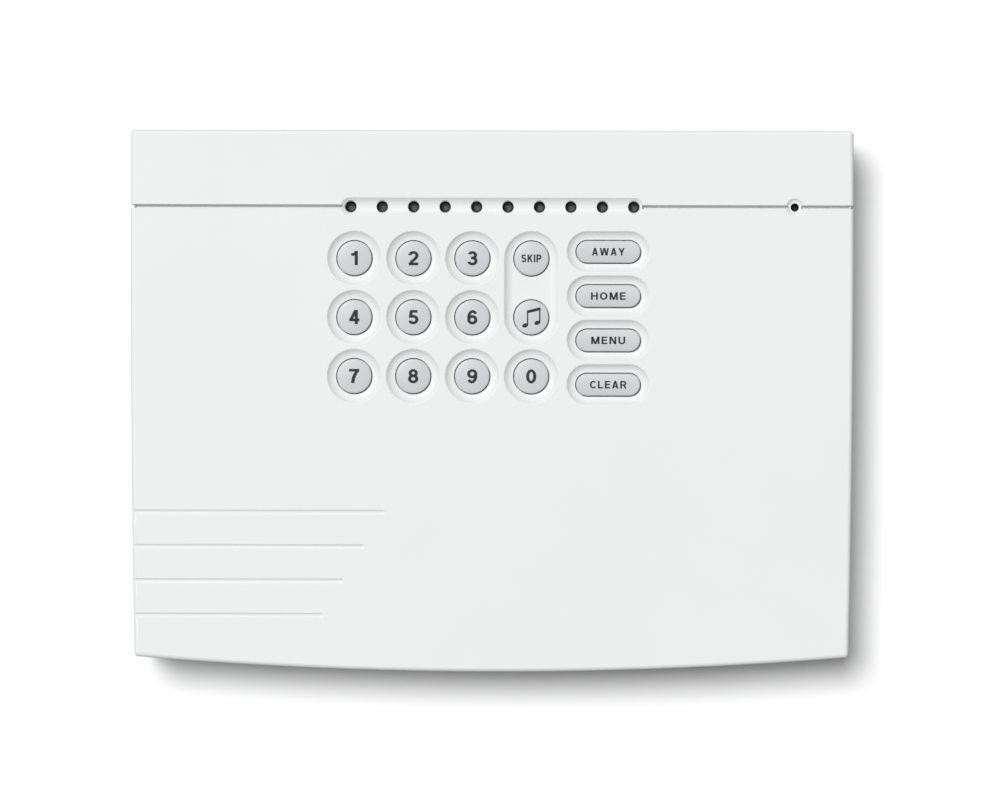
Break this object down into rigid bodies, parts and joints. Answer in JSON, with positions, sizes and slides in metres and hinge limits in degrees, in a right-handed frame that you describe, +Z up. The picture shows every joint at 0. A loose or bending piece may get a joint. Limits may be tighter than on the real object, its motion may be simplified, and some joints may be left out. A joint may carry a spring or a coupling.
{
  "type": "alarm keypad panel",
  "caption": "Wall-mounted alarm control panel with a hinged white cover, round number keys, long function keys and a row of small indicator lights.",
  "frame": {"origin": "middle of the case outline on the flat back face that lies against the wall", "axes": "+Z up the wall, front facing -Y, +X to the user's right, +Y into the wall"},
  "size_m": [0.2334, 0.058, 0.1748],
  "materials": {
    "case_white": "fine satin texture, warm white",
    "inner_white": "smooth moulded white",
    "key_silver": "satin silver grey",
    "mat_silicone": "translucent grey silicone",
    "board_green": "green solder mask",
    "led_lens": "dark tinted clear epoxy",
    "screw_steel": "zinc plated",
    "strap_steel": "plated strip",
    "core_steel": "varnished laminations",
    "coil_tape": "yellow polyester tape",
    "black_plastic": "moulded black",
    "relay_blue": "moulded blue",
    "capacitor_sleeve": "printed sleeve, plain",
    "bare_aluminium": "plain extruded",
    "terminal_green": "moulded green",
    "fuse_glass": "clear tube with plated caps",
    "clip_brass": "tinned brass",
    "battery_case": "dark grey sealed case",
    "wire_red": "insulated lead",
    "wire_black": "insulated lead",
    "grommet_rubber": "soft black rubber"
  },
  "bodies": {
    "case": {"back_box": "case_white", "hinge_pins": "screw_steel", "cover_screws": "screw_steel", "pan_head_screws": "screw_steel", "main_board": "board_green", "keypad_mat": "mat_silicone", "led_spacers": "black_plastic", "controller_chip": "black_plastic", "output_relay": "relay_blue", "reservoir_capacitor": "capacitor_sleeve", "heatsink": "bare_aluminium", "voltage_regulator": "black_plastic", "terminal_strip": "terminal_green", "terminal_screws": "screw_steel", "glass_fuses": "fuse_glass", "fuse_clips": "clip_brass", "tamper_switch": "black_plastic", "battery": "battery_case", "battery_lead_red": "wire_red", "battery_lead_black": "wire_black", "battery_strap": "strap_steel", "transformer_core": "core_steel", "transformer_coil": "coil_tape", "transformer_screws": "screw_steel", "mains_terminal": "inner_white", "mains_terminal_screws": "clip_brass", "mains_grommet": "grommet_rubber", "sounder_case": "black_plastic", "sounder_disc": "clip_brass", "led_1": "led_lens", "led_2": "led_lens", "led_3": "led_lens", "led_4": "led_lens", "led_5": "led_lens", "led_6": "led_lens", "led_7": "led_lens", "led_8": "led_lens", "led_9": "led_lens", "led_10": "led_lens", "power_led": "led_lens"},
    "cover": {"front_cover": "case_white", "key_retainer": "inner_white", "retainer_screws": "screw_steel"},
    "key_1": {"key_1": "key_silver"},
    "key_2": {"key_2": "key_silver"},
    "key_3": {"key_3": "key_silver"},
    "key_skip": {"key_skip": "key_silver"},
    "key_4": {"key_4": "key_silver"},
    "key_5": {"key_5": "key_silver"},
    "key_6": {"key_6": "key_silver"},
    "key_chime": {"key_chime": "key_silver"},
    "key_7": {"key_7": "key_silver"},
    "key_8": {"key_8": "key_silver"},
    "key_9": {"key_9": "key_silver"},
    "key_0": {"key_0": "key_silver"},
    "key_away": {"key_away": "key_silver"},
    "key_home": {"key_home": "key_silver"},
    "key_menu": {"key_menu": "key_silver"},
    "key_clear": {"key_clear": "key_silver"},
    "tamper_plunger": {"tamper_plunger": "inner_white"}
  },
  "joints": [
    {"name": "cover_hinge", "type": "hinge", "parent": "case", "child": "cover", "pos_m": [0, -0.0076, 0.08425], "axis": [-1, 0, 0], "range_deg": [0, 85]},
    {"name": "key_1_press", "type": "slide", "parent": "cover", "child": "key_1", "axis": [0, 1, 0], "range_m": [0, 0.0013], "stiffness_N_per_m": 900, "deforming": ["keypad_mat"]},
    {"name": "key_2_press", "type": "slide", "parent": "cover", "child": "key_2", "axis": [0, 1, 0], "range_m": [0, 0.0013], "stiffness_N_per_m": 900, "deforming": ["keypad_mat"]},
    {"name": "key_3_press", "type": "slide", "parent": "cover", "child": "key_3", "axis": [0, 1, 0], "range_m": [0, 0.0013], "stiffness_N_per_m": 900, "deforming": ["keypad_mat"]},
    {"name": "key_skip_press", "type": "slide", "parent": "cover", "child": "key_skip", "axis": [0, 1, 0], "range_m": [0, 0.0013], "stiffness_N_per_m": 900, "deforming": ["keypad_mat"]},
    {"name": "key_4_press", "type": "slide", "parent": "cover", "child": "key_4", "axis": [0, 1, 0], "range_m": [0, 0.0013], "stiffness_N_per_m": 900, "deforming": ["keypad_mat"]},
    {"name": "key_5_press", "type": "slide", "parent": "cover", "child": "key_5", "axis": [0, 1, 0], "range_m": [0, 0.0013], "stiffness_N_per_m": 900, "deforming": ["keypad_mat"]},
    {"name": "key_6_press", "type": "slide", "parent": "cover", "child": "key_6", "axis": [0, 1, 0], "range_m": [0, 0.0013], "stiffness_N_per_m": 900, "deforming": ["keypad_mat"]},
    {"name": "key_chime_press", "type": "slide", "parent": "cover", "child": "key_chime", "axis": [0, 1, 0], "range_m": [0, 0.0013], "stiffness_N_per_m": 900, "deforming": ["keypad_mat"]},
    {"name": "key_7_press", "type": "slide", "parent": "cover", "child": "key_7", "axis": [0, 1, 0], "range_m": [0, 0.0013], "stiffness_N_per_m": 900, "deforming": ["keypad_mat"]},
    {"name": "key_8_press", "type": "slide", "parent": "cover", "child": "key_8", "axis": [0, 1, 0], "range_m": [0, 0.0013], "stiffness_N_per_m": 900, "deforming": ["keypad_mat"]},
    {"name": "key_9_press", "type": "slide", "parent": "cover", "child": "key_9", "axis": [0, 1, 0], "range_m": [0, 0.0013], "stiffness_N_per_m": 900, "deforming": ["keypad_mat"]},
    {"name": "key_0_press", "type": "slide", "parent": "cover", "child": "key_0", "axis": [0, 1, 0], "range_m": [0, 0.0013], "stiffness_N_per_m": 900, "deforming": ["keypad_mat"]},
    {"name": "key_away_press", "type": "slide", "parent": "cover", "child": "key_away", "axis": [0, 1, 0], "range_m": [0, 0.0013], "stiffness_N_per_m": 900, "deforming": ["keypad_mat"]},
    {"name": "key_home_press", "type": "slide", "parent": "cover", "child": "key_home", "axis": [0, 1, 0], "range_m": [0, 0.0013], "stiffness_N_per_m": 900, "deforming": ["keypad_mat"]},
    {"name": "key_menu_press", "type": "slide", "parent": "cover", "child": "key_menu", "axis": [0, 1, 0], "range_m": [0, 0.0013], "stiffness_N_per_m": 900, "deforming": ["keypad_mat"]},
    {"name": "key_clear_press", "type": "slide", "parent": "cover", "child": "key_clear", "axis": [0, 1, 0], "range_m": [0, 0.0013], "stiffness_N_per_m": 900, "deforming": ["keypad_mat"]},
    {"name": "tamper_plunger_press", "type": "slide", "parent": "case", "child": "tamper_plunger", "axis": [0, 1, 0], "range_m": [0, 0.0012], "stiffness_N_per_m": 300}
  ]
}
